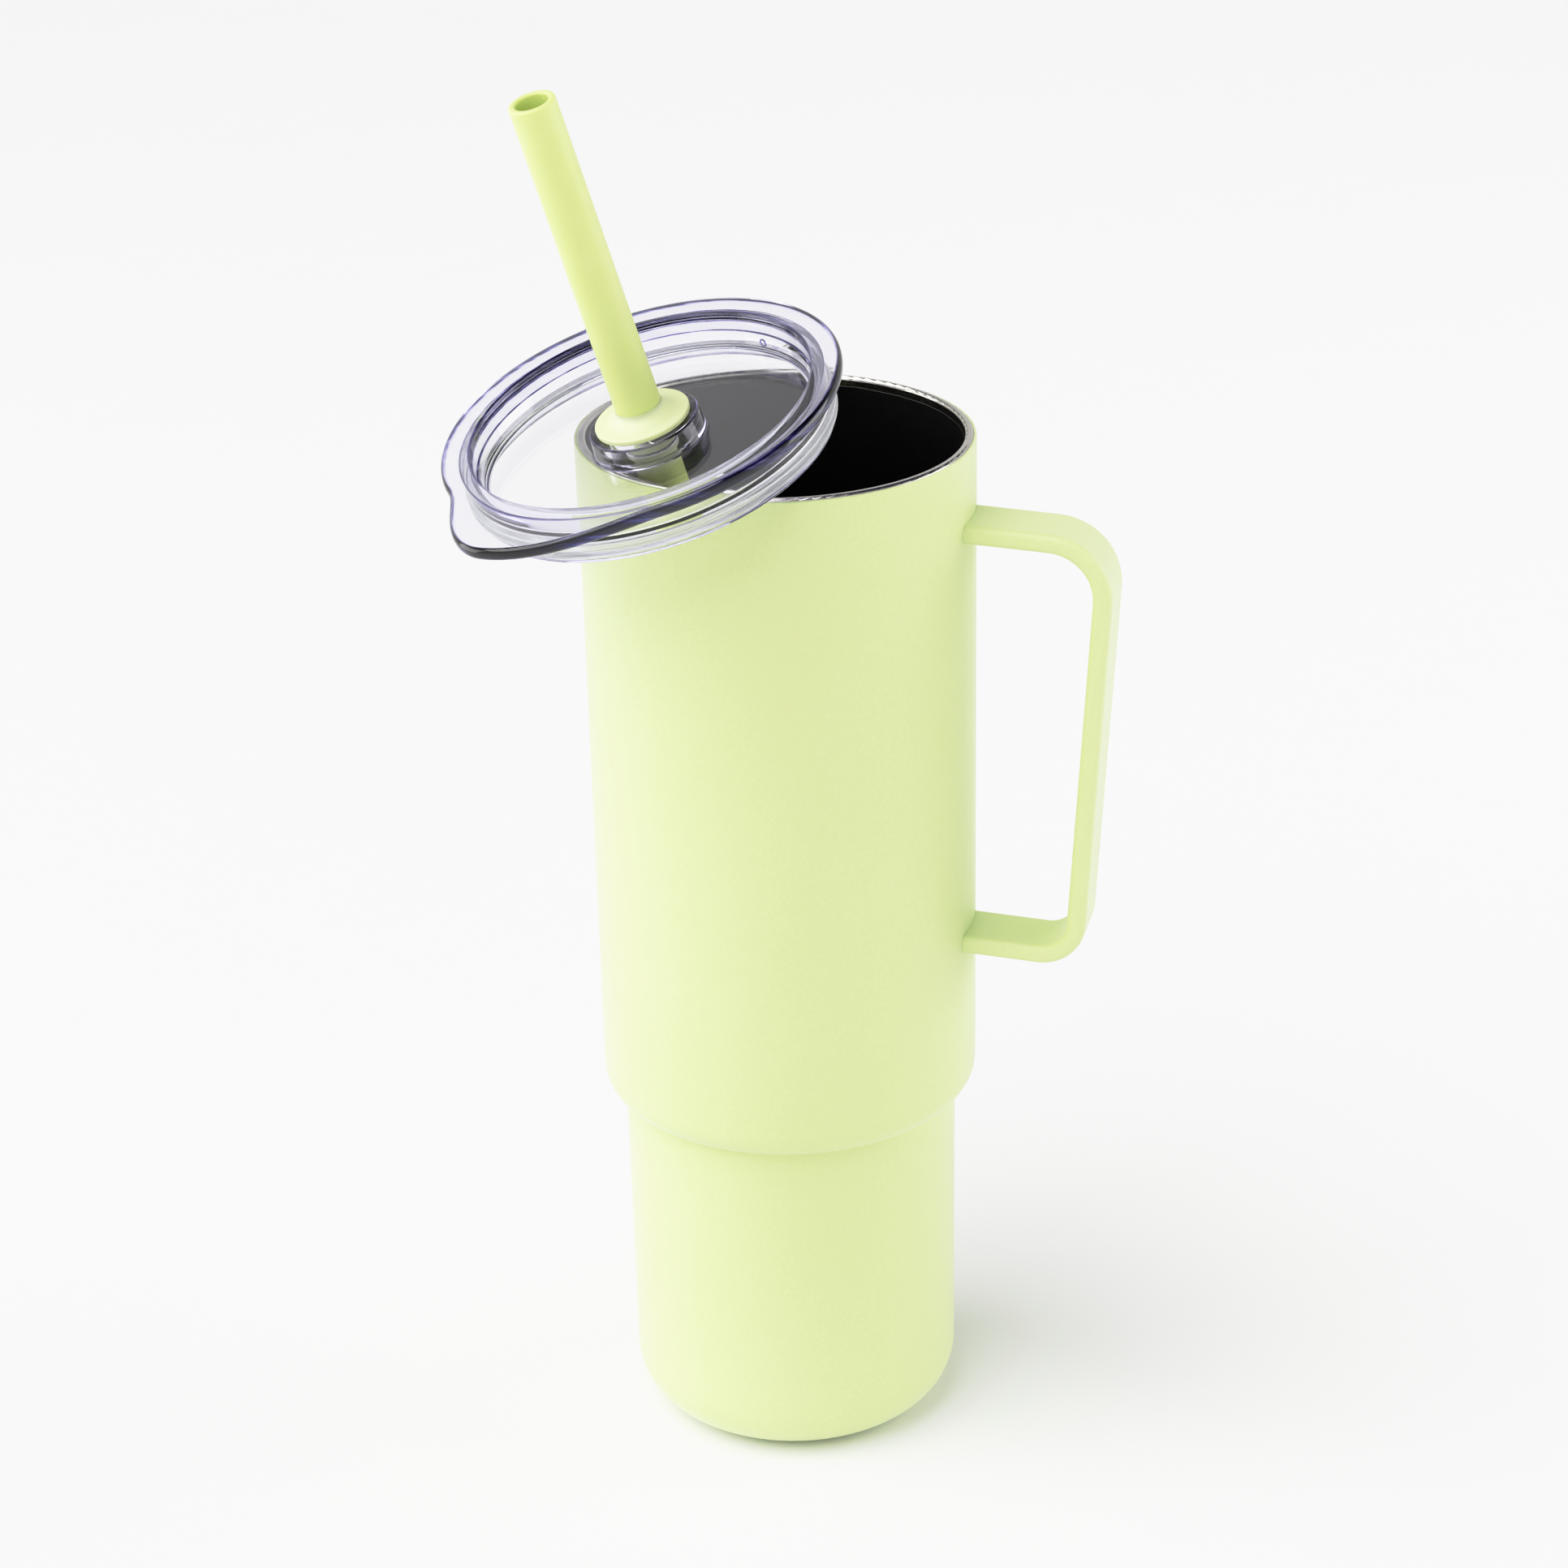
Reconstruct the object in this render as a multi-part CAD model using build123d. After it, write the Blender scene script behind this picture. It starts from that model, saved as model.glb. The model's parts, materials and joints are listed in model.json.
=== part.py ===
"""Insulated travel mug: a stepped double-wall steel body with a strap handle, a clear press-in lid with a
thumb tab, and a straw held in the lid by a soft collar.

Millimetres, +Z up. The origin is the centre of the base on the ground, and the handle stands along +X.
The lid is off its seat: it leans on the rim with the straw still standing in the mug.
"""
import math
import os

from build123d import *

# ---- body: outer sizes ----
HEIGHT = 247.5            # ground to the top of the lip
RIM_R = 45.0              # outer radius at the mouth
UPPER_TAPER = 0.7         # the upper tube is narrower by this at its lower end, in radius
SHOULDER_STEP = 4.9       # the narrow part is narrower by this, in radius
LOWER_TAPER = 0.6         # and narrower again by this at the bottom
CREASE_Z = 85.4           # height at which the shoulder meets the narrow part
SHOULDER_SLOPE = 20.0     # fall of the shoulder's ledge, degrees
SHOULDER_ROUND = 6.2      # convex rounding of the shoulder
CREASE_ROUND = 1.0        # concave rounding under the shoulder
BASE_ROUND = 13.1         # rounding of the base's edge
# ---- body: walls ----
SHELL_T = 0.6             # outer sheet
VACUUM_GAP = 1.6          # between the two walls
LINER_T = 0.5             # inner sheet
SEAM_Z = 16.0             # where the outer tube meets its welded base cup
LINER_SEAM_Z = 24.0       # where the inner tube meets its welded bottom cup
LINER_FLOOR_Z = 10.5      # underside of the inner floor
LINER_ROUND = 8.0         # rounding of the inner floor's edge, outer face
LIP_H = 1.1               # depth of the lip's band
LIP_ROUND = 0.8           # rounding of the lip's inner edge
LINER_TOP_ROUND = 0.2     # rounding of the liner's outer edge under the lip
SHELL_TOP_DROP = 0.5      # the coated sheet stops this far under the lip's top
SHELL_TOP_ROUND = 0.25    # rounding of the coated sheet's top edge
# ---- foot ----
BASE_LIFT = 0.8           # the base cup hangs this far above the ground
COVER_MARGIN = 1.4        # flat left between the base's rounding and the foot plate
COVER_GAP = 0.3           # radial gap round the foot plate
COVER_ROUND = 0.4         # rounding of the foot plate's lower edge
RECESS_H = 1.0            # depth of the foot plate's recess
DIMPLE_R = 5.0            # evacuation dimple
DIMPLE_H = 1.6
PORT_R = 0.8              # evacuation hole at the top of the dimple
BEAD_R = 2.2              # sealing bead that closes the hole
BEAD_H = 0.8
BEAD_ROUND = 0.48
# ---- getter ----
GETTER_R = 4.0
GETTER_H = 1.8
GETTER_OFFSET = 14.0      # from the axis, along -X
CLIP_L = 18.0
CLIP_W = 6.0
CLIP_T = 0.4
# ---- handle ----
BAND_W = 16.0             # width of the strap, along Y
BAND_T = 4.5              # thickness of the strap
BAND_WALL = 0.8           # sheet that the hollow strap is folded from
BAND_ROUND = 1.6
ARM_TOP_DROP = 18.9       # middle of the upper arm at the body, below the lip's top
ARM_LOW_RISE = 42.0       # middle of the lower arm at the body, above the crease
ARM_FALL = 3.0            # both arms fall outwards by this angle, degrees
GRIP_OUT_TOP = 31.3       # middle of the grip at the upper arm, out from the rim
GRIP_OUT_LOW = 24.6       # middle of the grip at the lower arm, out from the rim
BEND_TOP_R = 13.0
BEND_LOW_R = 8.5
# ---- lid, depths from its flange's top face downwards ----
FLANGE_OVER = 0.8         # the flange is wider than the rim by this, in radius
FLANGE_T = 3.0
FLANGE_ROUND = 1.3
TAB_PROUD = 10.8          # from the flange's edge to the tip of the thumb tab
TAB_ROUND = 5.0           # radius of the tab's tip
TAB_TURN = 14.0           # the tab's angle round the lid, from its low side
SEAT_GAP = 1.0            # radial gap between the plug and the mouth
WALL_FIT = 0.25           # radial gap between the gasket's lips and the mouth
BOWL_WALL_TOP = 2.4       # wall of the bowl at the flange
BOWL_WALL_STEP = 2.6      # just above its ledge
BOWL_WALL_MID = 3.1       # just under its ledge
BOWL_WALL_LOW = 3.7       # at its floor
LEDGE_DEPTH = 4.6
FLOOR_DEPTH = 8.4         # depth of the floor's top face
FLOOR_T = 1.8
SKIRT_T = 2.0
SKIRT_DROP = 2.7          # from the floor's underside to the skirt's lower edge
GROOVE_LAND = 1.5         # skirt left under the gasket's groove
GROOVE_CUT = 1.7          # depth of the gasket's groove
GASKET_PLAY = 0.05        # gasket to groove, all round
LIP_T = 0.7               # thickness of each gasket lip
LIPS_APART = 0.3          # plain face between the two lips
# ---- boss, collar and straw ----
STRAW_R = 5.2
STRAW_WALL = 1.5
STRAW_LENGTH = 289.0
STRAW_ROUND = 0.5
BOSS_ROOM = 4.6           # from the straw to the boss's bore
BOSS_WALL = 2.6
BOSS_FLARE = 0.5          # the boss is wider by this at its foot
BOSS_H = 4.9              # above the floor
DISC_LAP = 0.95           # the disc overlaps the boss's edge by this
DISC_T = 1.3
DISC_REST = 0.1           # gap between the disc and the boss's edge
NECK_OUT = 2.0            # the collar's flared neck stands out from the straw by this at its foot
NECK_H = 1.9
NECK_EDGE = 0.25          # thickness of the neck's top edge
NECK_FLARE_R = 2.09       # radius of the neck's concave flare
SLEEVE_T = 0.95
SLEEVE_PROUD = 1.4        # the sleeve sticks out under the floor by this
RUN_FIT = 0.06            # radial clearance of what slides or turns
# ---- the way the lid leans ----
LEAN_AZIMUTH = -131.5     # direction of the lid's low side, degrees from the handle
LEAN_TILT = 18.3          # degrees from level
LEAN_INSET = 8.8          # the flange's centre is this far inside the rim
REST_GAP = 0.3            # lid to rim, and straw to inner wall

EPS = 5.0                 # how far cutting tools run past what they cut

# ---- worked out ----
waist_r = RIM_R - UPPER_TAPER
grip_r = waist_r - SHOULDER_STEP
foot_r = grip_r - LOWER_TAPER
slope = math.radians(SHOULDER_SLOPE)
waist_z = CREASE_Z + SHOULDER_STEP * math.tan(slope)
liner_inset = SHELL_T + VACUUM_GAP
bore_inset = liner_inset + LINER_T
cover_r = foot_r - BASE_ROUND - COVER_MARGIN
mouth_r = RIM_R - bore_inset
plug_r = mouth_r - SEAT_GAP
flange_r = RIM_R + FLANGE_OVER
groove_r = plug_r - GROOVE_CUT
gasket_r = mouth_r - WALL_FIT
floor_under = FLOOR_DEPTH + FLOOR_T
plug_depth = floor_under + SKIRT_DROP
groove_h = 4 * LIP_T + LIPS_APART + 2 * GASKET_PLAY
groove_top = plug_depth - GROOVE_LAND - groove_h
collar_bore_r = STRAW_R + RUN_FIT
sleeve_r = collar_bore_r + SLEEVE_T
floor_hole_r = sleeve_r + RUN_FIT
sleeve_low = floor_under + SLEEVE_PROUD
boss_bore_r = STRAW_R + BOSS_ROOM
boss_r = boss_bore_r + BOSS_WALL
boss_top = FLOOR_DEPTH - BOSS_H
disc_r = boss_bore_r + DISC_LAP
disc_under = boss_top - DISC_REST
disc_top = disc_under - DISC_T
neck_r = STRAW_R + NECK_OUT
tilt = math.radians(LEAN_TILT)
lean_reach = RIM_R - LEAN_INSET
lean_z = (HEIGHT + REST_GAP + floor_under / math.cos(tilt)
          + (RIM_R - SHELL_T - lean_reach) * math.tan(tilt))
side_room = bore_inset + REST_GAP + STRAW_R * math.cos(tilt)
to_narrow_wall = (lean_reach + foot_r - side_room) / math.sin(tilt)
to_wide_wall = (lean_reach + waist_r - side_room) / math.sin(tilt)
floor_top = LINER_FLOOR_Z + LINER_ROUND + REST_GAP + STRAW_R * math.sin(tilt)
to_floor = (lean_z - floor_top) / math.cos(tilt)
ends_under_shoulder = lean_z - to_narrow_wall * math.cos(tilt) < CREASE_Z
straw_foot = min(to_narrow_wall if ends_under_shoulder else to_wide_wall, to_floor)


def turned(outline):
    """Solid of revolution round Z of a closed outline drawn in (radius, height)."""
    return revolve(Plane.XZ * make_face(outline), Axis.Z)


def turned_points(*points):
    """Solid of revolution of a straight-sided outline."""
    return turned(Polyline(*points, close=True))


def ring(r_in, r_out, z_low, z_high):
    """Plain flat ring or, with no inner radius, a disc."""
    return turned_points((r_in, z_low), (r_out, z_low), (r_out, z_high), (r_in, z_high))


def band(z_low, z_high):
    """Slab that keeps the part of a turned body between two heights."""
    return ring(0, RIM_R + EPS, z_low, z_high)


def meet_ledge(low_r, low_z, high_r, high_z, inset):
    """Where a wall through two outer points, set in, meets the shoulder's ledge, set in by as much."""
    spread = (high_r - low_r) / (high_z - low_z)
    wall_r = low_r - inset - spread * low_z
    ledge_z = CREASE_Z + inset / math.cos(slope) - grip_r * math.tan(slope)
    z = (ledge_z + math.tan(slope) * wall_r) / (1 - math.tan(slope) * spread)
    return wall_r + spread * z, z


def shoulder_round(crease, waist, inset):
    """Rounding of the shoulder set in by a distance, limited to what its ledge has room for."""
    half_turn = math.tan((math.pi / 2 - slope) / 2)
    room = 0.99 * math.dist(crease, waist) / half_turn - CREASE_ROUND - inset
    return min(SHOULDER_ROUND - inset, room)


def vessel(inset, floor_z, floor_round, top_z, top_round):
    """The body's stepped outline set in by a distance from its outer face, as a full solid."""
    lower_spread = LOWER_TAPER / (CREASE_Z - BASE_LIFT)
    upper_spread = UPPER_TAPER / (HEIGHT - waist_z)
    floor_r = foot_r - inset + lower_spread * (floor_z - BASE_LIFT)
    top_r = RIM_R - inset + upper_spread * (top_z - HEIGHT)
    crease = meet_ledge(foot_r, BASE_LIFT, grip_r, CREASE_Z, inset)
    waist = meet_ledge(waist_r, waist_z, RIM_R, HEIGHT, inset)
    path = FilletPolyline(
        (0, floor_z),
        (floor_r, floor_z),
        crease,
        waist,
        (top_r, top_z),
        (0, top_z),
        radius=[floor_round, CREASE_ROUND + inset, shoulder_round(crease, waist, inset), top_round],
    )
    return turned(path + Line((0, top_z), (0, floor_z)))


# ---- body ----
outer_body = vessel(0, BASE_LIFT, BASE_ROUND, HEIGHT - SHELL_TOP_DROP, SHELL_TOP_ROUND)
shell_cavity = vessel(SHELL_T, BASE_LIFT + SHELL_T, BASE_ROUND - SHELL_T, HEIGHT + EPS, LIP_ROUND)
liner_body = vessel(liner_inset, LINER_FLOOR_Z, LINER_ROUND, HEIGHT - LIP_H / 2, LINER_TOP_ROUND)
lip_body = vessel(SHELL_T, BASE_LIFT + SHELL_T, BASE_ROUND - SHELL_T, HEIGHT, LIP_ROUND)
drink_cavity = vessel(
    bore_inset, LINER_FLOOR_Z + LINER_T, LINER_ROUND - LINER_T, HEIGHT + EPS, LIP_ROUND)


def make_outer_shell():
    """Wide upper tube, shoulder and narrow lower tube, in one drawn sheet."""
    return (outer_body - shell_cavity) & band(SEAM_Z, HEIGHT + EPS)


def make_outer_base():
    """Base cup with a recess for the foot plate and a dimple with the evacuation hole."""
    recess_r = cover_r + COVER_GAP
    ceiling = BASE_LIFT + RECESS_H
    cup = (outer_body - shell_cavity) & band(0, SEAM_Z)
    cup += ring(0, recess_r + SHELL_T, BASE_LIFT, ceiling + SHELL_T)
    cup -= ring(0, recess_r, BASE_LIFT - EPS, ceiling)
    dome_top = ceiling + DIMPLE_H + SHELL_T
    cup -= ring(0, DIMPLE_R - SHELL_T, ceiling - EPS, ceiling + EPS)
    cup += turned_points(
        (PORT_R, dome_top), (BEAD_R + SHELL_T, dome_top), (DIMPLE_R, ceiling),
        (DIMPLE_R - SHELL_T, ceiling), (BEAD_R, dome_top - SHELL_T), (PORT_R, dome_top - SHELL_T))
    return cup


def make_seal_bead():
    """Low dome of sealing glass under the evacuation hole."""
    top = BASE_LIFT + RECESS_H + DIMPLE_H
    bead = ring(0, BEAD_R, top - BEAD_H, top)
    return fillet(bead.edges().sort_by(Axis.Z)[0], BEAD_ROUND)


def make_base_cover():
    """Foot plate that the mug stands on."""
    plate = ring(0, cover_r, 0, BASE_LIFT + RECESS_H)
    return fillet(plate.edges().sort_by(Axis.Z)[0], COVER_ROUND)


def make_inner_liner():
    """Inner tube with the lip that is welded into the outer shell's mouth."""
    wall = (liner_body - drink_cavity) & band(LINER_SEAM_Z, HEIGHT - LIP_H)
    lip = (lip_body - drink_cavity) & band(HEIGHT - LIP_H, HEIGHT + EPS)
    inner_edge = lip.edges().filter_by(GeomType.CIRCLE).group_by(Axis.Z)[-1].sort_by(SortBy.RADIUS)[0]
    return wall + fillet(inner_edge, LIP_ROUND)


def make_liner_bottom():
    """Inner floor cup, welded to the inner tube."""
    return (liner_body - drink_cavity) & band(0, LINER_SEAM_Z)


def make_getter_clip():
    """Spring strip spot-welded under the inner floor, with two tabs round the pellet."""
    top = LINER_FLOOR_Z
    strip = Pos(-GETTER_OFFSET, 0, top - CLIP_T / 2) * Box(CLIP_W, CLIP_L, CLIP_T)
    for side in (-1, 1):
        tab_y = side * (GETTER_R + CLIP_T / 2)
        strip += Pos(-GETTER_OFFSET, tab_y, top - (CLIP_T + GETTER_H) / 2) * Box(
            CLIP_W, CLIP_T, CLIP_T + GETTER_H)
    return strip


def make_getter_pellet():
    """Gas-absorbing pellet held by the clip."""
    return Pos(-GETTER_OFFSET, 0, LINER_FLOOR_Z - CLIP_T - GETTER_H / 2) * Cylinder(GETTER_R, GETTER_H)


def make_handle():
    """Hollow strap: upper arm, grip that leans in towards its foot, and lower arm."""
    fall = math.tan(math.radians(ARM_FALL))
    root_x = waist_r - EPS
    top_z = HEIGHT - ARM_TOP_DROP
    low_z = CREASE_Z + ARM_LOW_RISE
    grip_top = (RIM_R + GRIP_OUT_TOP, top_z - fall * GRIP_OUT_TOP)
    grip_low = (RIM_R + GRIP_OUT_LOW, low_z - fall * GRIP_OUT_LOW)
    route = Plane.XZ * FilletPolyline(
        (root_x, top_z + fall * (RIM_R - root_x)), grip_top, grip_low,
        (root_x, low_z + fall * (RIM_R - root_x)), radius=[BEND_TOP_R, BEND_LOW_R])
    section_plane = Plane(origin=route @ 0, x_dir=(0, 1, 0), z_dir=route % 0)
    skin = sweep(section_plane * RectangleRounded(BAND_W, BAND_T, BAND_ROUND), path=route)
    hollow = sweep(
        section_plane * RectangleRounded(
            BAND_W - 2 * BAND_WALL, BAND_T - 2 * BAND_WALL, BAND_ROUND - BAND_WALL), path=route)
    return skin - hollow - outer_body


# ---- lid and straw, drawn upright about their own axis with the flange's top face at zero ----
def make_flange():
    """Flat ring with the thumb tab, its rim rounded all round."""
    tip = Rot(0, 0, TAB_TURN) * Pos(flange_r + TAB_PROUD - TAB_ROUND, 0) * Circle(TAB_ROUND)
    outline = make_hull((Circle(flange_r) + tip).edges())
    plate = extrude(outline, -FLANGE_T)
    rims = plate.edges().group_by(Axis.Z)[0] + plate.edges().group_by(Axis.Z)[-1]
    plate = fillet(rims, FLANGE_ROUND)
    return plate - ring(0, plug_r - BOWL_WALL_TOP / 2, -FLANGE_T - EPS, EPS)


def make_lid():
    """Clear lid in one moulding: flange, bowl, gasket groove, skirt, floor and straw boss."""
    skirt_in_r = plug_r - SKIRT_T
    groove_low = groove_top + groove_h
    bowl = turned_points(
        (plug_r - BOWL_WALL_TOP, 0), (plug_r, 0), (plug_r, -groove_top), (groove_r, -groove_top),
        (groove_r, -groove_low), (plug_r, -groove_low), (plug_r, -plug_depth),
        (skirt_in_r, -plug_depth), (skirt_in_r, -floor_under), (floor_hole_r, -floor_under),
        (floor_hole_r, -FLOOR_DEPTH), (boss_bore_r, -FLOOR_DEPTH), (boss_bore_r, -boss_top),
        (boss_r, -boss_top), (boss_r + BOSS_FLARE, -FLOOR_DEPTH),
        (plug_r - BOWL_WALL_LOW, -FLOOR_DEPTH), (plug_r - BOWL_WALL_MID, -LEDGE_DEPTH),
        (plug_r - BOWL_WALL_STEP, -LEDGE_DEPTH))
    return make_flange() + bowl


def make_gasket():
    """Ring that sits in the lid's groove and grips the mouth with two thin lips."""
    top = -groove_top - GASKET_PLAY
    low = -groove_top - groove_h + GASKET_PLAY
    root = groove_r + GASKET_PLAY
    return turned_points(
        (root, top), (plug_r, top), (gasket_r, top - LIP_T), (gasket_r, top - 2 * LIP_T),
        (plug_r, top - 2 * LIP_T), (plug_r, low + 2 * LIP_T), (gasket_r, low + LIP_T),
        (gasket_r, low), (root, low))


def make_collar():
    """Soft collar: a disc on the boss, a flared neck round the straw and a sleeve through the floor."""
    edge_r = collar_bore_r + NECK_EDGE
    neck_top = -disc_top + NECK_H
    outline = Polyline(
        (edge_r, neck_top), (collar_bore_r, neck_top), (collar_bore_r, -sleeve_low),
        (sleeve_r, -sleeve_low), (sleeve_r, -disc_under), (disc_r, -disc_under),
        (disc_r, -disc_top), (neck_r, -disc_top))
    flare = RadiusArc((neck_r, -disc_top), (edge_r, neck_top), NECK_FLARE_R)
    return turned(outline + flare)


def make_straw():
    """Straight tube with rounded ends."""
    straw = ring(STRAW_R - STRAW_WALL, STRAW_R, -straw_foot, STRAW_LENGTH - straw_foot)
    return fillet(straw.edges().filter_by(GeomType.CIRCLE), STRAW_ROUND)


lean_way = math.radians(LEAN_AZIMUTH)
lean = (
    Pos(lean_reach * math.cos(lean_way), lean_reach * math.sin(lean_way), lean_z)
    * Rot(0, 0, LEAN_AZIMUTH) * Rot(0, LEAN_TILT, 0))

parts = {
    "outer_shell": make_outer_shell(),
    "outer_base": make_outer_base(),
    "seal_bead": make_seal_bead(),
    "base_cover": make_base_cover(),
    "inner_liner": make_inner_liner(),
    "liner_bottom": make_liner_bottom(),
    "getter_clip": make_getter_clip(),
    "getter_pellet": make_getter_pellet(),
    "handle": make_handle(),
    "lid": lean * make_lid(),
    "lid_gasket": lean * make_gasket(),
    "straw_collar": lean * make_collar(),
    "straw": lean * make_straw(),
}

os.makedirs("parts", exist_ok=True)
for name, shape in parts.items():
    export_step(shape, f"parts/{name}.step")
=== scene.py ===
"""Insulated travel mug: stepped steel body, strap handle, clear lid leaning on the rim, lime straw."""
import json
import math

import bpy
import numpy as np
from mathutils import Matrix, Vector


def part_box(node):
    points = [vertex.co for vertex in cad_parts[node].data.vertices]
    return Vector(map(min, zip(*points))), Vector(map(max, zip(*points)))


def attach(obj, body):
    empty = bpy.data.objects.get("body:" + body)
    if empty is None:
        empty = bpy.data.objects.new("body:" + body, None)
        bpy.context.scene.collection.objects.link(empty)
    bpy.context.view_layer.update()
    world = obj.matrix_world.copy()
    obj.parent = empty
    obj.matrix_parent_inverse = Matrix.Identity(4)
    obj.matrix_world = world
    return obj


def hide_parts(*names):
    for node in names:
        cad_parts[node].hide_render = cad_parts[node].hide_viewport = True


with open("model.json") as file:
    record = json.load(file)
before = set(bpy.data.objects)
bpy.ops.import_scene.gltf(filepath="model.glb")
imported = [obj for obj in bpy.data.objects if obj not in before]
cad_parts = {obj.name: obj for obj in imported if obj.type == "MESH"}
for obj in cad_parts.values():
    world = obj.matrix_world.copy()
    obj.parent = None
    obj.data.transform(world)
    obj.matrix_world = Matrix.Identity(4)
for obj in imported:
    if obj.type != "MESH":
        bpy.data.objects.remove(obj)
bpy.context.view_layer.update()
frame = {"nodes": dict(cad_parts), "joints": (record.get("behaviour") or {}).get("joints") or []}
nodes = frame["nodes"]

# ---- Outer body ----
# Wide upper tube, shoulder and narrow lower tube, hydroformed from one steel sheet, with the base cup
# welded in under them. Both are sprayed with lime powder paint and baked, which leaves a fine grain.
LIME_LIGHT = (0.604, 0.714, 0.314, 1)
LIME_DEEP = (0.550, 0.664, 0.268, 1)
PATCHES_PER_M = 14.0       # slow drift of the paint's thickness
GRAIN_PER_M = 1050.0       # orange peel of the baked powder
GRAIN_DEPTH = 0.00006
BODY_ROUGHNESS = 0.50


def new_finish(name, **sockets):
    """A node material and its Principled shader, with the shader's own values set."""
    finish = bpy.data.materials.new(name)
    finish.use_nodes = True
    shader = finish.node_tree.nodes["Principled BSDF"]
    for socket, value in sockets.items():
        shader.inputs[socket.replace("_", " ")].default_value = value
    return finish, shader


def add(finish, kind, settings=(), **inputs):
    """One shader node; an input is a value, or another node's output to link."""
    made = finish.node_tree.nodes.new("ShaderNode" + kind)
    for key, value in dict(settings).items():
        setattr(made, key, value)
    for key, value in inputs.items():
        socket = made.inputs[int(key[1:]) if key[1:].isdigit() else key.replace("_", " ")]
        if isinstance(value, bpy.types.NodeSocket):
            finish.node_tree.links.new(value, socket)
        else:
            socket.default_value = value
    return made


def drive(finish, shader, **sockets):
    """Links outputs to the shader's sockets."""
    for socket, output in sockets.items():
        finish.node_tree.links.new(output, shader.inputs[socket.replace("_", " ")])


def blend_of(finish, share, low, high):
    """Colour between two, by a share from 0 to 1."""
    return add(finish, "Mix", {"data_type": "RGBA"}, i0=share, i6=low, i7=high).outputs[2]


def stretch(finish, value, low, high, to_low, to_high):
    """A value's range moved to another one."""
    return add(finish, "MapRange", i0=value, i1=low, i2=high, i3=to_low, i4=to_high).outputs[0]


def powder_coat(name, roughness, grain_depth):
    """Powder paint: two close limes, half by slow patches and half by the grain, with a speckled gloss, a
    fine bump and a pale sheen at grazing angles."""
    finish, shader = new_finish(name, Specular_IOR_Level=0.45, Sheen_Weight=0.34, Sheen_Roughness=0.40)
    place = add(finish, "TexCoord").outputs["Object"]
    patches = add(finish, "TexNoise", Vector=place, Scale=PATCHES_PER_M, Detail=3.0).outputs[0]
    grain = add(finish, "TexNoise", Vector=place, Scale=GRAIN_PER_M, Detail=2.0,
                Roughness=0.6).outputs[0]
    drift = add(finish, "Math", {"operation": "ADD"},
                i0=stretch(finish, patches, 0.3, 0.7, 0.0, 0.5),
                i1=stretch(finish, grain, 0.3, 0.7, 0.0, 0.5)).outputs[0]
    speckle = stretch(finish, grain, 0.35, 0.65, roughness - 0.05, roughness + 0.05)
    bump = add(finish, "Bump", Strength=0.55, Distance=grain_depth, Height=grain)
    drive(finish, shader, Base_Color=blend_of(finish, drift, LIME_DEEP, LIME_LIGHT),
          Roughness=speckle, Normal=bump.outputs[0])
    return finish


def paint(finish, *names):
    """Gives CAD nodes their finish."""
    for name in names:
        nodes[name].data.materials.clear()
        nodes[name].data.materials.append(finish)


paint(powder_coat("lime_powder_coat", BODY_ROUGHNESS, GRAIN_DEPTH), "outer_shell", "outer_base")

# ---- Foot plate and sealing bead ----
# A thin steel disc glued into the base's recess, which the mug stands on, and behind it the bead of
# glass that closes the evacuation hole. The plate is turned, so it has fine rings.
STEEL = (0.62, 0.60, 0.57, 1)
RING_SCALE = 260.0         # how close the turning rings lie
RING_DEPTH = 0.00002
PLATE_ROUGHNESS = 0.34
BEAD_GLASS = (0.05, 0.09, 0.08, 1)


def turned_steel(name, roughness):
    """Bare stainless steel with fine turning rings round Z."""
    finish, shader = new_finish(name, Metallic=1.0, Base_Color=STEEL)
    place = add(finish, "TexCoord").outputs["Object"]
    rings = add(finish, "TexWave", {"wave_type": "RINGS", "rings_direction": "Z"}, Vector=place,
                Scale=RING_SCALE, Distortion=1.5, Detail=2.0, Detail_Scale=3.0).outputs[1]
    scratch = add(finish, "TexNoise", Vector=place, Scale=900.0, Detail=3.0).outputs[0]
    bump = add(finish, "Bump", Strength=0.2, Distance=RING_DEPTH, Height=rings)
    drive(finish, shader, Normal=bump.outputs[0],
          Roughness=stretch(finish, scratch, 0.3, 0.7, roughness - 0.06, roughness + 0.08))
    return finish


paint(turned_steel("turned_steel", PLATE_ROUGHNESS), "base_cover")

glass, glass_shader = new_finish("sealing_glass", Base_Color=BEAD_GLASS)
glass_place = add(glass, "TexCoord").outputs["Object"]
glass_flow = add(glass, "TexNoise", Vector=glass_place, Scale=700.0).outputs[0]
drive(glass, glass_shader, Roughness=stretch(glass, glass_flow, 0.3, 0.7, 0.08, 0.25))
paint(glass, "seal_bead")

# ---- Inner vessel ----
# The inner tube and its welded floor cup. The lip that closes the mouth is bare polished steel, and a
# little under it a matte black food-safe coating begins and covers the whole inside.
LIP_TOP_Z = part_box("inner_liner")[1].z
BARE_BAND = 0.0023         # bare steel from the lip's top down to the coating
COAT_EDGE_WAVER = 0.00012
COAT_EDGE_FADE = 0.00008
COAT_ROUGHNESS = 0.52
LIP_ROUGHNESS = 0.20
LIP_STEEL = (0.43, 0.415, 0.375, 1)
BLACK_COAT = (0.0012, 0.0012, 0.0014, 1)


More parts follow.
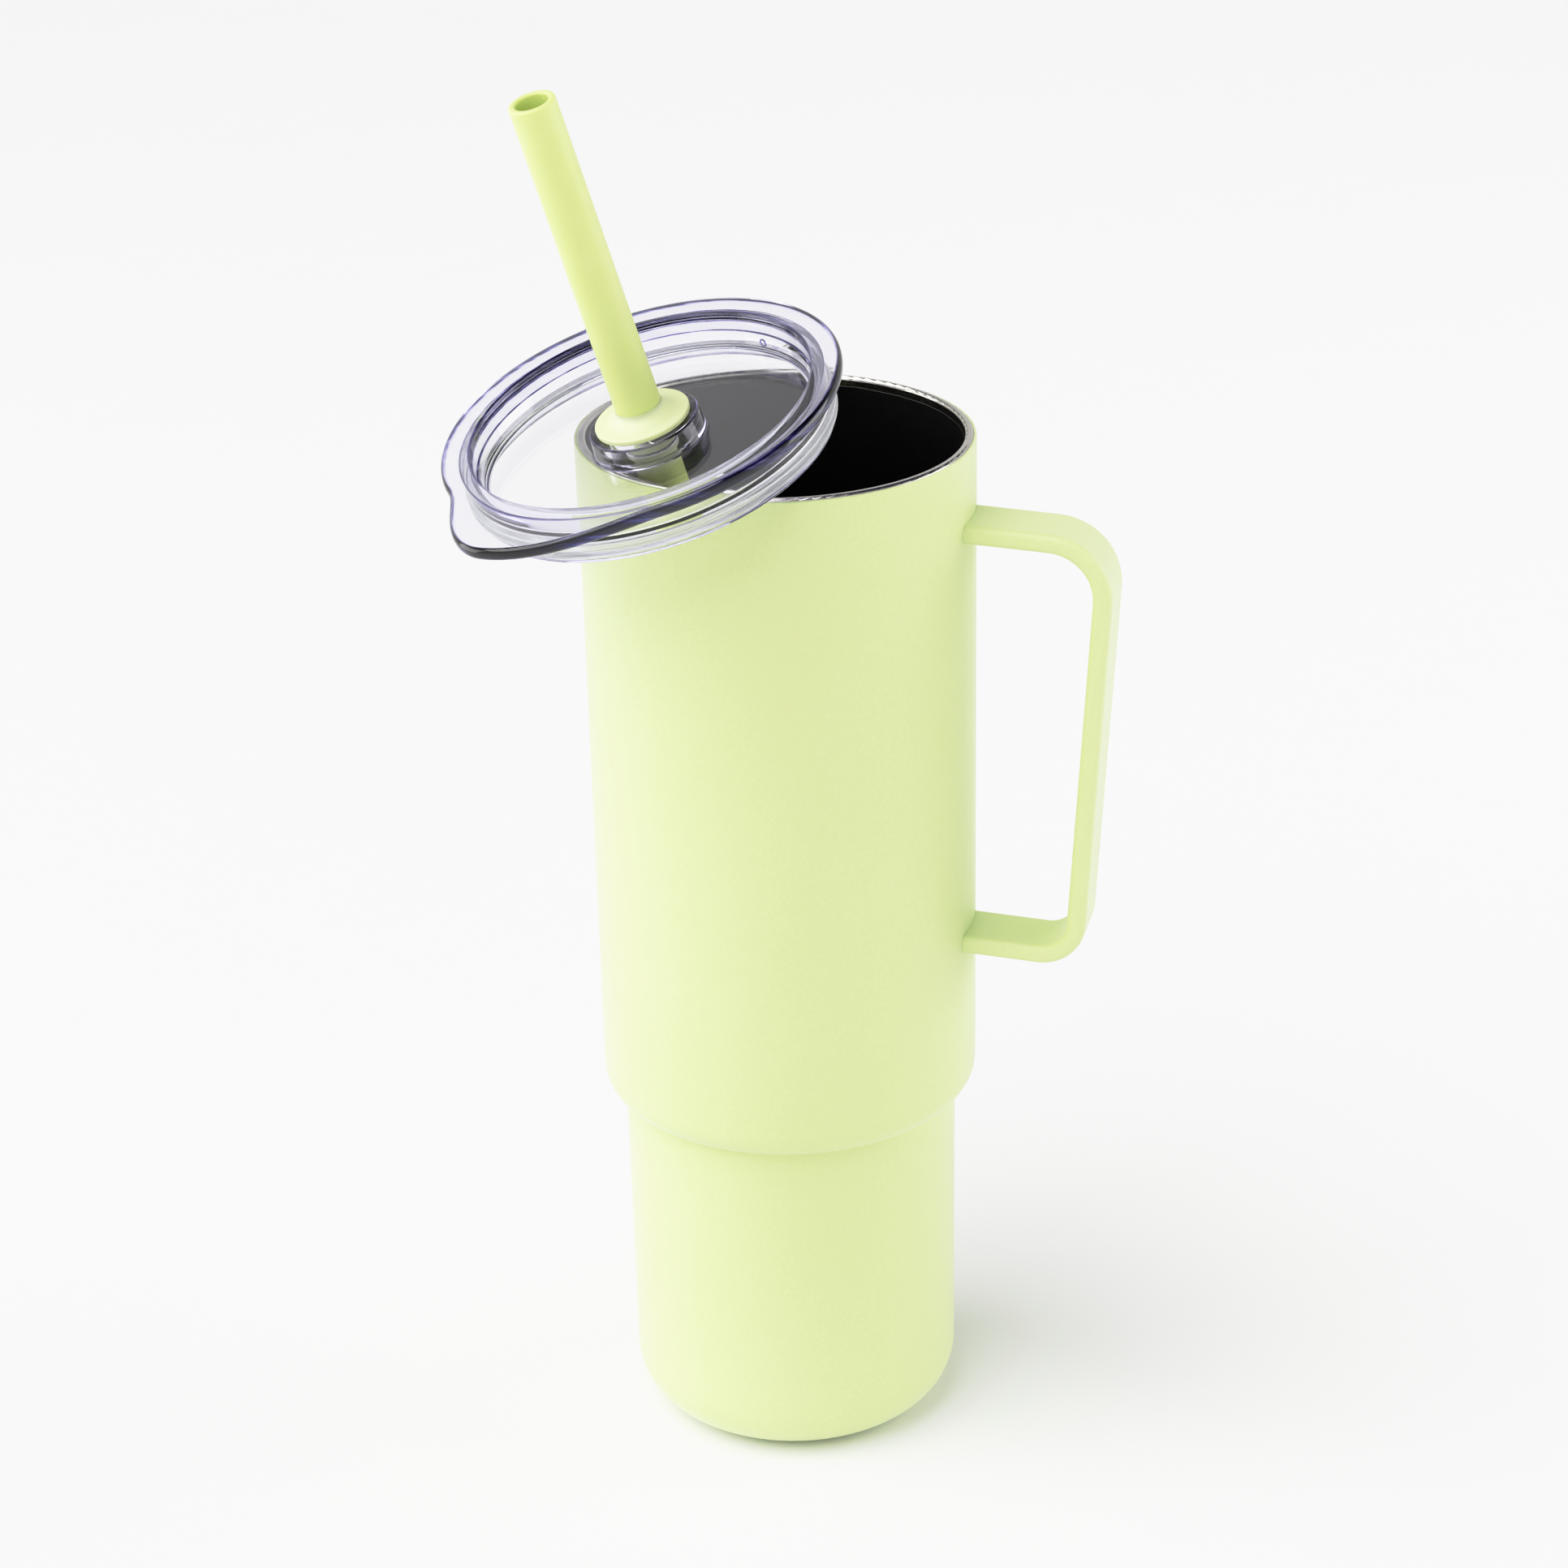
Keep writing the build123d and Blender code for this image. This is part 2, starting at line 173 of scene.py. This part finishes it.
def lined_steel():
    """Black coating that stops at a slightly uneven edge under the bare steel lip."""
    finish, shader = new_finish("lined_steel", Specular_IOR_Level=0.10)
    place = add(finish, "TexCoord").outputs["Object"]
    height = add(finish, "SeparateXYZ", Vector=place).outputs["Z"]
    waver = add(finish, "TexNoise", Vector=place, Scale=160.0, Detail=2.0).outputs[0]
    edge = stretch(finish, waver, 0.3, 0.7, LIP_TOP_Z - BARE_BAND - COAT_EDGE_WAVER,
                   LIP_TOP_Z - BARE_BAND + COAT_EDGE_WAVER)
    over = add(finish, "Math", {"operation": "SUBTRACT"}, i0=height, i1=edge).outputs[0]
    bare = stretch(finish, over, -COAT_EDGE_FADE, COAT_EDGE_FADE, 0.0, 1.0)
    grain = add(finish, "TexNoise", Vector=place, Scale=1100.0, Detail=3.0).outputs[0]
    gloss = stretch(finish, bare, 0.0, 1.0, COAT_ROUGHNESS, LIP_ROUGHNESS)
    speckle = stretch(finish, grain, 0.3, 0.7, -0.05, 0.05)
    rough = add(finish, "Math", {"operation": "ADD"}, i0=gloss, i1=speckle).outputs[0]
    bump = add(finish, "Bump", Strength=0.2, Distance=0.00004, Height=grain)
    drive(finish, shader, Base_Color=blend_of(finish, bare, BLACK_COAT, LIP_STEEL), Metallic=bare,
          Roughness=rough, Normal=bump.outputs[0])
    return finish


paint(lined_steel(), "inner_liner", "liner_bottom")

# ---- Getter ----
# The pellet that keeps the vacuum clean and the spring clip that holds it, spot-welded under the inner
# floor before the body is closed. Neither is seen again.
PELLET_GREY = (0.16, 0.15, 0.14, 1)
CLIP_ROUGHNESS = 0.30
pellet, pellet_shader = new_finish("getter_alloy", Metallic=0.7, Base_Color=PELLET_GREY)
pellet_place = add(pellet, "TexCoord").outputs["Object"]
pellet_grit = add(pellet, "TexNoise", Vector=pellet_place, Scale=2600.0, Detail=4.0).outputs[0]
pellet_bump = add(pellet, "Bump", Strength=0.5, Distance=0.00005, Height=pellet_grit)
drive(pellet, pellet_shader, Roughness=stretch(pellet, pellet_grit, 0.3, 0.7, 0.55, 0.85),
      Normal=pellet_bump.outputs[0])
paint(pellet, "getter_pellet")
paint(turned_steel("clip_steel", CLIP_ROUGHNESS), "getter_clip")

# ---- Handle ----
# A hollow steel strap with rounded edges, bent at two corners and welded to the body at both arms, then
# coated with it. The paint lies a little smoother on it.
HANDLE_ROUGHNESS = 0.44
paint(powder_coat("lime_handle_coat", HANDLE_ROUGHNESS, GRAIN_DEPTH / 2), "handle")

# ---- Lid ----
# One clear rigid moulding: a flat flange with a thumb tab, a stepped bowl with a floor, a boss for the
# collar, and a plug skirt with the gasket's groove. Its thick edges get dark violet streaks painted into
# their colour, a painted reflection of a dark room, on top of a faint violet tint in the plastic.
lid_turn = {joint["name"]: joint for joint in frame["joints"]}["lid_turn"]
LID_AXIS = np.array(lid_turn["axis"])
LID_AXIS = LID_AXIS / np.linalg.norm(LID_AXIS)
LID_CENTRE = np.array(lid_turn["pos_m"])     # middle of the flange's top face
MM = 0.001
FLANGE_R = 45.8            # lid sizes are in millimetres
FLANGE_ROUND = 1.3
TAB_PROUD = 10.6           # tab's tip beyond the flange
TAB_AT = math.radians(14)  # the tab's place round the lid from its low side
TAB_FALL_LEFT = math.radians(31)    # from the tip to where the tab has run out
TAB_FALL_RIGHT = math.radians(47)
TAB_ROOT_R = 41.5          # the flange is stretched outwards from here
LID_TURNS = 288
ARC_STEPS = 6              # faces in each corner's arc
LID_OUTLINE = np.array([   # each corner's radius, height and rounding, and the painted violet reflection along its arc
    (41.30, -12.90, 0.45, 0.02, 0.40, 0.05), (41.30, -11.40, 0.10, 0.05, 0.20, 0.02),
    (39.60, -11.40, 0.15, 0.02, 0.10, 0.02), (39.60, -8.20, 0.15, 0.02, 0.10, 0.02),
    (41.30, -8.20, 0.10, 0.02, 0.20, 0.02), (41.30, -3.00, 0.50, 0.03, 1.00, 0.04),
    (FLANGE_R, -3.00, FLANGE_ROUND, 0.03, 0.95, 1.00), (FLANGE_R, 0.00, FLANGE_ROUND, 1.00, 0.95, 0.02),
    (38.90, 0.00, 0.60, 0.02, 1.00, 0.12), (38.70, -4.60, 0.12, 0.12, 0.80, 0.70),
    (38.20, -4.60, 0.12, 0.55, 0.35, 0.03), (37.60, -8.40, 1.20, 0.02, 0.18, 0.00),
    (12.90, -8.40, 0.50, 0.00, 0.20, 0.03), (12.40, -3.50, 0.55, 0.03, 0.60, 0.10),
    (9.80, -3.50, 0.45, 0.10, 0.30, 0.00), (9.80, -8.40, 0.40, 0.00, 0.00, 0.00),
    (6.27, -8.40, 0.15, 0.00, 0.00, 0.00), (6.27, -10.20, 0.15, 0.00, 0.00, 0.00),
    (39.30, -10.20, 0.70, 0.00, 0.12, 0.02), (39.30, -12.90, 0.45, 0.02, 0.40, 0.02)])
# Painted reflection: colours and streak sizes of the dark violet painted on the lid's edges, from clear to
# near black by depth.
PAINTED_REFLECTION_STOPS = ((0.0, (1.0, 1.0, 1.0, 1)), (0.32, (0.26, 0.23, 0.64, 1)),
                (0.60, (0.006, 0.006, 0.075, 1)), (0.92, (0.0003, 0.0003, 0.0014, 1)))
REFLECTION_STREAKS_PER_M = (26.0, 26.0, 900.0)    # long round the lid, thin along its axis
PLASTIC_TINT = (0.40, 0.34, 0.80, 1)
PLASTIC_DENSITY = 26.0
PLASTIC_BEND = 1.52


def rounded(corners, steps=ARC_STEPS):
    """Closed outline with an arc at each corner. The arc starts and ends r / tan(half the corner's angle)
    from the corner, about a centre on its bisector, and its points turn evenly from one to the other."""
    spot, r = corners[:, :2], corners[:, 2:3]
    before, after = np.roll(spot, 1, 0) - spot, np.roll(spot, -1, 0) - spot
    before /= np.linalg.norm(before, axis=1, keepdims=True)
    after /= np.linalg.norm(after, axis=1, keepdims=True)
    half = np.arccos((before * after).sum(1, keepdims=True)) / 2
    middle = before + after
    centre = spot + middle / np.linalg.norm(middle, axis=1, keepdims=True) * r / np.sin(half)
    start, end = spot + before * r / np.tan(half) - centre, spot + after * r / np.tan(half) - centre
    turn, share = (math.pi - 2 * half)[:, None], np.linspace(0, 1, steps + 1)[None, :, None]
    arc = np.sin((1 - share) * turn) * start[:, None] + np.sin(share * turn) * end[:, None]
    return (centre[:, None] + arc / np.sin(turn)).reshape(-1, 2)


def lid_frame():
    """The lid's low side, the way at right angles to it, and its axis, as rows."""
    low = LID_AXIS * LID_AXIS[2] - np.array([0, 0, 1])
    low = low / np.linalg.norm(low)
    return np.array([low, np.cross(LID_AXIS, low), LID_AXIS])


def piece(name, points, faces, finish, body, replaced):
    """A mesh piece that rides on a body, stands for a CAD node and takes a slot's finish."""
    mesh = bpy.data.meshes.new(name)
    mesh.from_pydata(points.tolist(), [], faces.tolist())
    mesh.polygons.foreach_set("use_smooth", np.ones(len(faces), bool))
    mesh.materials.append(finish)
    made = bpy.data.objects.new(name, mesh)
    bpy.context.scene.collection.objects.link(made)
    even = made.modifiers.new("even_normals", "WEIGHTED_NORMAL")
    even.weight = 50
    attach(made, body)
    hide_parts(replaced)
    return made


def turned_points(outline, turns, stretch_out=None):
    """Grid of a closed outline turned round the lid's axis: centre + radius * (cos a * low side + sin a *
    cross side) + height * axis. stretch_out(angle, radius) moves points outwards."""
    angle = np.linspace(0, 2 * math.pi, turns, endpoint=False)[:, None]
    radius, height = outline[None, :, 0], outline[None, :, 1]
    radius = radius + (0 if stretch_out is None else stretch_out(angle, radius))
    local = np.stack(np.broadcast_arrays(radius * np.cos(angle), radius * np.sin(angle), height), -1)
    return local.reshape(-1, 3) * MM @ lid_frame() + LID_CENTRE


def closed_grid(turns, steps):
    """Quads of a grid that closes on itself both ways."""
    i, j = np.meshgrid(np.arange(turns), np.arange(steps), indexing="ij")
    near, far = (i + 1) % turns, (j + 1) % steps
    quads = np.stack([i * steps + j, near * steps + j, near * steps + far, i * steps + far], -1)
    return quads.reshape(-1, 4)


def tab_stretch(angle, radius):
    """Thumb tab: the flange's edge moves out by the tab's reach times a bell that is 1 at the tip and eases
    to 0 on each side; inside the tab's root nothing moves."""
    off = (angle - TAB_AT + math.pi) % (2 * math.pi) - math.pi
    share = np.clip(np.abs(off) / np.where(off < 0, TAB_FALL_LEFT, TAB_FALL_RIGHT), 0, 1)
    bell = (1 - share ** 1.7) ** 1.9
    weight = np.clip((radius - TAB_ROOT_R) / (FLANGE_R - FLANGE_ROUND - TAB_ROOT_R), 0, 1)
    return TAB_PROUD * bell * weight


def edge_painted_reflection(corners, turns, steps=ARC_STEPS):
    """Share of painted violet reflection at every point: along each corner's arc it runs straight from its
    start value to its middle value and on to its end value, the same all round the lid."""
    share = np.linspace(0, 1, steps + 1)[None, :]
    start, middle, end = corners[:, 3:4], corners[:, 4:5], corners[:, 5:6]
    first, second = start + (middle - start) * 2 * share, middle + (end - middle) * (2 * share - 1)
    return np.tile(np.where(share < 0.5, first, second).reshape(-1), turns)


def clear_plastic():
    """Clear rigid plastic: smooth glass, with dark violet streaks painted into its colour as a painted
    reflection, as deep as the piece's point attribute says, with a faint body tint, flow ripples and
    hairline scuffs."""
    finish, shader = new_finish("clear_plastic", Transmission_Weight=1.0, IOR=PLASTIC_BEND)
    place = add(finish, "TexCoord").outputs["Object"]
    level = Vector(LID_AXIS).rotation_difference(Vector((0, 0, 1))).to_euler()
    layers = add(finish, "Mapping", Vector=place, Rotation=level, Scale=REFLECTION_STREAKS_PER_M).outputs[0]
    reflection_streaks = add(finish, "TexNoise", Vector=layers, Scale=1.0, Detail=2.0).outputs[0]
    # Painted reflection: how much dark violet is painted at each point.
    painted_reflection = add(finish, "Attribute", {"attribute_name": "painted_reflection"}).outputs["Fac"]
    depth = add(finish, "Math", {"operation": "MULTIPLY"}, i0=painted_reflection,
                i1=stretch(finish, reflection_streaks, 0.40, 0.56, 0.58, 1.0)).outputs[0]
    edge = add(finish, "ValToRGB", i0=depth)
    for depth_at, colour in PAINTED_REFLECTION_STOPS[1:-1]:
        edge.color_ramp.elements.new(depth_at).color = colour
    edge.color_ramp.elements[0].color = PAINTED_REFLECTION_STOPS[0][1]
    edge.color_ramp.elements[-1].position, edge.color_ramp.elements[-1].color = PAINTED_REFLECTION_STOPS[-1]
    scuffs = add(finish, "TexNoise", Vector=place, Scale=420.0, Detail=4.0).outputs[0]
    ripples = add(finish, "TexNoise", Vector=place, Scale=45.0, Detail=1.0).outputs[0]
    bump = add(finish, "Bump", Strength=0.08, Distance=0.0004, Height=ripples)
    drive(finish, shader, Base_Color=edge.outputs[0], Normal=bump.outputs[0],
          Roughness=stretch(finish, scuffs, 0.45, 0.75, 0.01, 0.07))
    tint = add(finish, "VolumeAbsorption", Color=PLASTIC_TINT, Density=PLASTIC_DENSITY)
    out = finish.node_tree.nodes["Material Output"]
    finish.node_tree.links.new(tint.outputs[0], out.inputs["Volume"])
    return finish


lid_outline = rounded(LID_OUTLINE)
lid_plastic = clear_plastic()
clear_lid = piece("clear_lid", turned_points(lid_outline, LID_TURNS, tab_stretch),
                  closed_grid(LID_TURNS, len(lid_outline)), lid_plastic, "lid", "lid")
# Painted reflection: each point's share of the painted dark violet edge.
clear_lid.data.attributes.new("painted_reflection", "FLOAT", "POINT").data.foreach_set(
    "value", edge_painted_reflection(LID_OUTLINE, LID_TURNS))

# ---- Gate mark ----
# The small raised ring that the mould's gate leaves on the bowl's wall, opposite the tab. It is part of the
# lid's own plastic and gets a little of the painted violet reflection.
GATE_AT = math.radians(189.5)        # its place round the lid from the low side
GATE_DOWN = 6.6
GATE_WALL_R = 37.88
GATE_RING_R = 0.80
GATE_WIRE_R = 0.20
GATE_TURNS, GATE_STEPS = 48, 12
# Painted reflection: how much painted dark violet the gate mark carries.
GATE_PAINTED_REFLECTION = 0.5


def gate_ring(turns, steps):
    """A circle round the wall's normal, with a round section: centre + (ring + wire * cos b) * (cos a *
    along + sin a * up) + wire * sin b * outwards."""
    a = np.linspace(0, 2 * math.pi, turns, endpoint=False)[:, None, None]
    b = np.linspace(0, 2 * math.pi, steps, endpoint=False)[None, :, None]
    low, cross, up = lid_frame()
    outwards = math.cos(GATE_AT) * low + math.sin(GATE_AT) * cross
    along = np.cross(up, outwards)
    reach = GATE_RING_R + GATE_WIRE_R * np.cos(b)
    ring = reach * (np.cos(a) * along + np.sin(a) * up) + GATE_WIRE_R * np.sin(b) * outwards
    return ((ring + GATE_WALL_R * outwards - GATE_DOWN * up) * MM + LID_CENTRE).reshape(-1, 3)


gate_mark = piece("gate_mark", gate_ring(GATE_TURNS, GATE_STEPS), closed_grid(GATE_TURNS, GATE_STEPS),
                  lid_plastic, "lid", "lid")
gate_mark.data.attributes.new("painted_reflection", "FLOAT", "POINT").data.foreach_set(
    "value", np.full(GATE_TURNS * GATE_STEPS, GATE_PAINTED_REFLECTION))

# ---- Gasket ----
# Ring of clear silicone, moulded flat and stretched into the plug's groove. Its two thin lips bend against
# the mouth, so it is soft and slightly milky.
GASKET_TURNS = 240
MILKY = (0.95, 0.965, 0.955, 1)
GASKET_OUTLINE = np.array([
    (39.65, -11.35, 0.20), (42.05, -11.35, 0.22), (42.05, -10.65, 0.22), (41.30, -9.95, 0.10),
    (41.30, -9.65, 0.10), (42.05, -9.65, 0.22), (42.05, -8.95, 0.22), (41.30, -8.25, 0.15),
    (39.65, -8.25, 0.20)])


def clear_silicone():
    """Soft clear rubber: frosted glass with a faint milky cast."""
    finish, shader = new_finish("clear_silicone", Transmission_Weight=0.78, IOR=1.25, Base_Color=MILKY)
    place = add(finish, "TexCoord").outputs["Object"]
    haze = add(finish, "TexNoise", Vector=place, Scale=300.0, Detail=2.0).outputs[0]
    drive(finish, shader, Roughness=stretch(finish, haze, 0.3, 0.7, 0.12, 0.24))
    return finish


gasket_outline = rounded(GASKET_OUTLINE)
piece("silicone_gasket", turned_points(gasket_outline, GASKET_TURNS),
      closed_grid(GASKET_TURNS, len(gasket_outline)), clear_silicone(), "lid_seal", "lid_gasket")

# ---- Straw collar ----
# Soft lime silicone in one moulding: a disc on the boss, a neck that flares into it from the straw, and a
# sleeve that passes through the lid's floor.
COLLAR_OUTLINE = np.array([
    (5.26, -11.60, 0.20), (6.21, -11.60, 0.20), (6.21, -3.40, 0.15), (10.75, -3.40, 0.25),
    (10.75, -2.10, 0.35), (5.26, -2.10, 0.05)])
BORE_R = 5.26
NECK_FOOT_R = 8.3
NECK_TOP_R = 5.31
NECK_LOW = -2.10
NECK_HIGH = 0.60
FLARE_POWER = 2.6
COLLAR_TURNS = 160
COLLAR_LIME = (0.700, 0.775, 0.410, 1)
COLLAR_LIME_DEEP = (0.680, 0.755, 0.385, 1)
COLLAR_ROUGHNESS = 0.42
COLLAR_GLOW_DEPTH = 0.002  # how far light sinks in
LIME_GLOW = (1.0, 0.9, 0.35)


def soft_plastic(name, tint, deep, roughness, depth):
    """Coloured soft plastic that light sinks into, with a faint cloudiness and a satin skin."""
    finish, shader = new_finish(name, Subsurface_Weight=0.35, Subsurface_Scale=depth, IOR=1.45)
    shader.inputs["Subsurface Radius"].default_value = LIME_GLOW
    place = add(finish, "TexCoord").outputs["Object"]
    cloud = add(finish, "TexNoise", Vector=place, Scale=90.0, Detail=2.0).outputs[0]
    skin = add(finish, "TexNoise", Vector=place, Scale=1300.0, Detail=2.0).outputs[0]
    bump = add(finish, "Bump", Strength=0.15, Distance=0.00003, Height=skin)
    share = stretch(finish, cloud, 0.3, 0.7, 0, 1)
    drive(finish, shader, Base_Color=blend_of(finish, share, deep, tint), Normal=bump.outputs[0],
          Roughness=stretch(finish, skin, 0.3, 0.7, roughness - 0.04, roughness + 0.06))
    return finish


def neck_flare(steps=14):
    """Concave flare: the radius falls from the foot to the top as the foot's excess times a power of
    (1 - t)."""
    t = np.linspace(0, 1, steps)
    radius = NECK_TOP_R + (NECK_FOOT_R - NECK_TOP_R) * (1 - t) ** FLARE_POWER
    return np.stack([radius, NECK_LOW + (NECK_HIGH - NECK_LOW) * t], 1)


collar_rounded = rounded(COLLAR_OUTLINE)[:-(ARC_STEPS + 1)]     # the last corner gives way to the neck
collar_outline = np.vstack([collar_rounded, neck_flare(), [(BORE_R, NECK_HIGH)]])
piece("lime_collar", turned_points(collar_outline, COLLAR_TURNS),
      closed_grid(COLLAR_TURNS, len(collar_outline)),
      soft_plastic("collar_silicone", COLLAR_LIME, COLLAR_LIME_DEEP, COLLAR_ROUGHNESS, COLLAR_GLOW_DEPTH),
      "collar", "straw_collar")

# ---- Straw ----
# Extruded tube of lime plastic with a thick wall, cut to length and softly rounded at both ends. It is
# pushed through the collar, which grips it.
STRAW_OUTLINE = np.array([
    (5.20, -213.58, 0.55), (5.20, 75.42, 0.55), (3.70, 75.42, 0.55), (3.70, -213.58, 0.55)])
STRAW_TURNS = 128
STRAW_ARC_STEPS = 8
STRAW_LIME = (0.625, 0.730, 0.265, 1)
STRAW_LIME_DEEP = (0.605, 0.713, 0.243, 1)
STRAW_ROUGHNESS = 0.40
STRAW_GLOW_DEPTH = 0.003
straw_outline = rounded(STRAW_OUTLINE, STRAW_ARC_STEPS)
piece("lime_straw", turned_points(straw_outline, STRAW_TURNS),
      closed_grid(STRAW_TURNS, len(straw_outline)),
      soft_plastic("straw_plastic", STRAW_LIME, STRAW_LIME_DEEP, STRAW_ROUGHNESS, STRAW_GLOW_DEPTH),
      "straw", "straw")

# ---- Table, lights and camera ----
# A pale matte table that runs past the view, wide soft light from the left front, a softbox on each side,
# and a bright wall all round that darkens to violet grey towards the ceiling.
CAMERA_TURN = math.radians(14)       # the camera stands this far round from the front
CAMERA_AT = Vector((0.20898, -0.83818, 0.54230))
CAMERA_DOWN = 0.415249
CAMERA_ROLL = -0.022763
CAMERA_LENS = 93.16
SENSOR = 36
TARGET = Vector((0.0, 0.0, 0.16))
WALL_WHITE = (1, 1, 1, 1)
CEILING_VIOLET = (0.05, 0.045, 0.08, 1)
WALL_TOP, CEILING_FROM = 0.50, 0.80  # sine of the height where the white ends, and where the violet is full
TABLE_HALF = 9.0
TABLE_PALE = (0.88, 0.88, 0.875, 1)
TABLE_SHADE = (0.86, 0.86, 0.855, 1)
WHITE_AT = 1.9             # light that prints as the palest white
PALEST = 0.99
SHOULDER = ((0.35, 0.35), (0.70, 0.70), (0.94, 0.83), (1.20, 0.93), (1.50, 0.965))   # light, and as shown


def place_camera():
    """Camera at its stand, looking down by its pitch and rolled a little."""
    across = Vector((math.cos(CAMERA_TURN), math.sin(CAMERA_TURN), 0))
    ahead = Vector((-math.sin(CAMERA_TURN) * math.cos(CAMERA_DOWN),
                    math.cos(CAMERA_TURN) * math.cos(CAMERA_DOWN), -math.sin(CAMERA_DOWN)))
    up = across.cross(ahead)
    right = math.cos(CAMERA_ROLL) * across + math.sin(CAMERA_ROLL) * up
    up = -math.sin(CAMERA_ROLL) * across + math.cos(CAMERA_ROLL) * up
    data = bpy.data.cameras.new("camera")
    data.lens = CAMERA_LENS
    data.sensor_width = SENSOR
    made = bpy.data.objects.new("camera", data)
    made.matrix_world = Matrix((right, up, -ahead)).transposed().to_4x4()
    made.location = CAMERA_AT
    bpy.context.scene.collection.objects.link(made)
    bpy.context.scene.camera = made


def softbox(name, across, towards, height, size, power):
    """Square area light set across the view, towards the camera and up from the target, facing it."""
    right = Vector((math.cos(CAMERA_TURN), math.sin(CAMERA_TURN), 0))
    near = Vector((math.sin(CAMERA_TURN), -math.cos(CAMERA_TURN), 0))
    data = bpy.data.lights.new(name, "AREA")
    data.shape = "SQUARE"
    data.size = size
    data.energy = power
    made = bpy.data.objects.new(name, data)
    made.location = TARGET + right * across + near * towards + Vector((0, 0, height))
    made.rotation_euler = (made.location - TARGET).to_track_quat("Z", "Y").to_euler()
    bpy.context.scene.collection.objects.link(made)


def skylight(name, across, towards, height, spread, strength):
    """Soft even light from one way, given across the view, towards the camera and up."""
    right = Vector((math.cos(CAMERA_TURN), math.sin(CAMERA_TURN), 0))
    near = Vector((math.sin(CAMERA_TURN), -math.cos(CAMERA_TURN), 0))
    data = bpy.data.lights.new(name, "SUN")
    data.angle = math.radians(spread)
    data.energy = strength
    made = bpy.data.objects.new(name, data)
    way = right * across + near * towards + Vector((0, 0, height))
    made.rotation_euler = way.to_track_quat("Z", "Y").to_euler()
    bpy.context.scene.collection.objects.link(made)


def studio_walls(strength):
    """Background light by height: white at the horizon, violet grey overhead."""
    world = bpy.data.worlds.new("studio")
    world.use_nodes = True
    bpy.context.scene.world = world
    place = add(world, "TexCoord").outputs["Generated"]
    height = add(world, "SeparateXYZ", Vector=place).outputs["Z"]
    ramp = add(world, "ValToRGB", i0=height)
    ramp.color_ramp.elements[0].position = WALL_TOP
    ramp.color_ramp.elements[0].color = WALL_WHITE
    ramp.color_ramp.elements[1].position = CEILING_FROM
    ramp.color_ramp.elements[1].color = CEILING_VIOLET
    back = world.node_tree.nodes["Background"]
    back.inputs["Strength"].default_value = strength
    world.node_tree.links.new(ramp.outputs[0], back.inputs["Color"])


def lay_table():
    """A wide plane under the mug, nearly white, with the faintest mottling."""
    mesh = bpy.data.meshes.new("table")
    corners = [(x * TABLE_HALF, y * TABLE_HALF, 0) for x, y in ((-1, -1), (1, -1), (1, 1), (-1, 1))]
    mesh.from_pydata(corners, [], [(0, 1, 2, 3)])
    finish, shader = new_finish("pale_table", Roughness=0.75, Specular_IOR_Level=0.2)
    place = add(finish, "TexCoord").outputs["Object"]
    mottle = add(finish, "TexNoise", Vector=place, Scale=30.0, Detail=3.0).outputs[0]
    drive(finish, shader, Base_Color=blend_of(finish, mottle, TABLE_SHADE, TABLE_PALE))
    mesh.materials.append(finish)
    made = bpy.data.objects.new("table", mesh)
    bpy.context.scene.collection.objects.link(made)


def develop():
    """Prints light as it falls up to middle tones, and rolls the brightest off softly into white."""
    look = bpy.context.scene.view_settings
    look.view_transform = "Standard"
    look.use_curve_mapping = True
    look.curve_mapping.white_level = (WHITE_AT,) * 3
    curve = look.curve_mapping.curves[3]
    for light, shown in SHOULDER:
        curve.points.new(light / WHITE_AT, shown)
    curve.points[-1].location = (1, PALEST)
    look.curve_mapping.update()


place_camera()
lay_table()
studio_walls(strength=0.92)
skylight("skylight", across=-0.58, towards=0.38, height=1.0, spread=60, strength=3.3)
softbox("softbox_left", across=-1.2, towards=-0.15, height=0.2, size=0.9, power=7)
softbox("softbox_right", across=1.3, towards=-0.1, height=0.4, size=0.9, power=9)
develop()
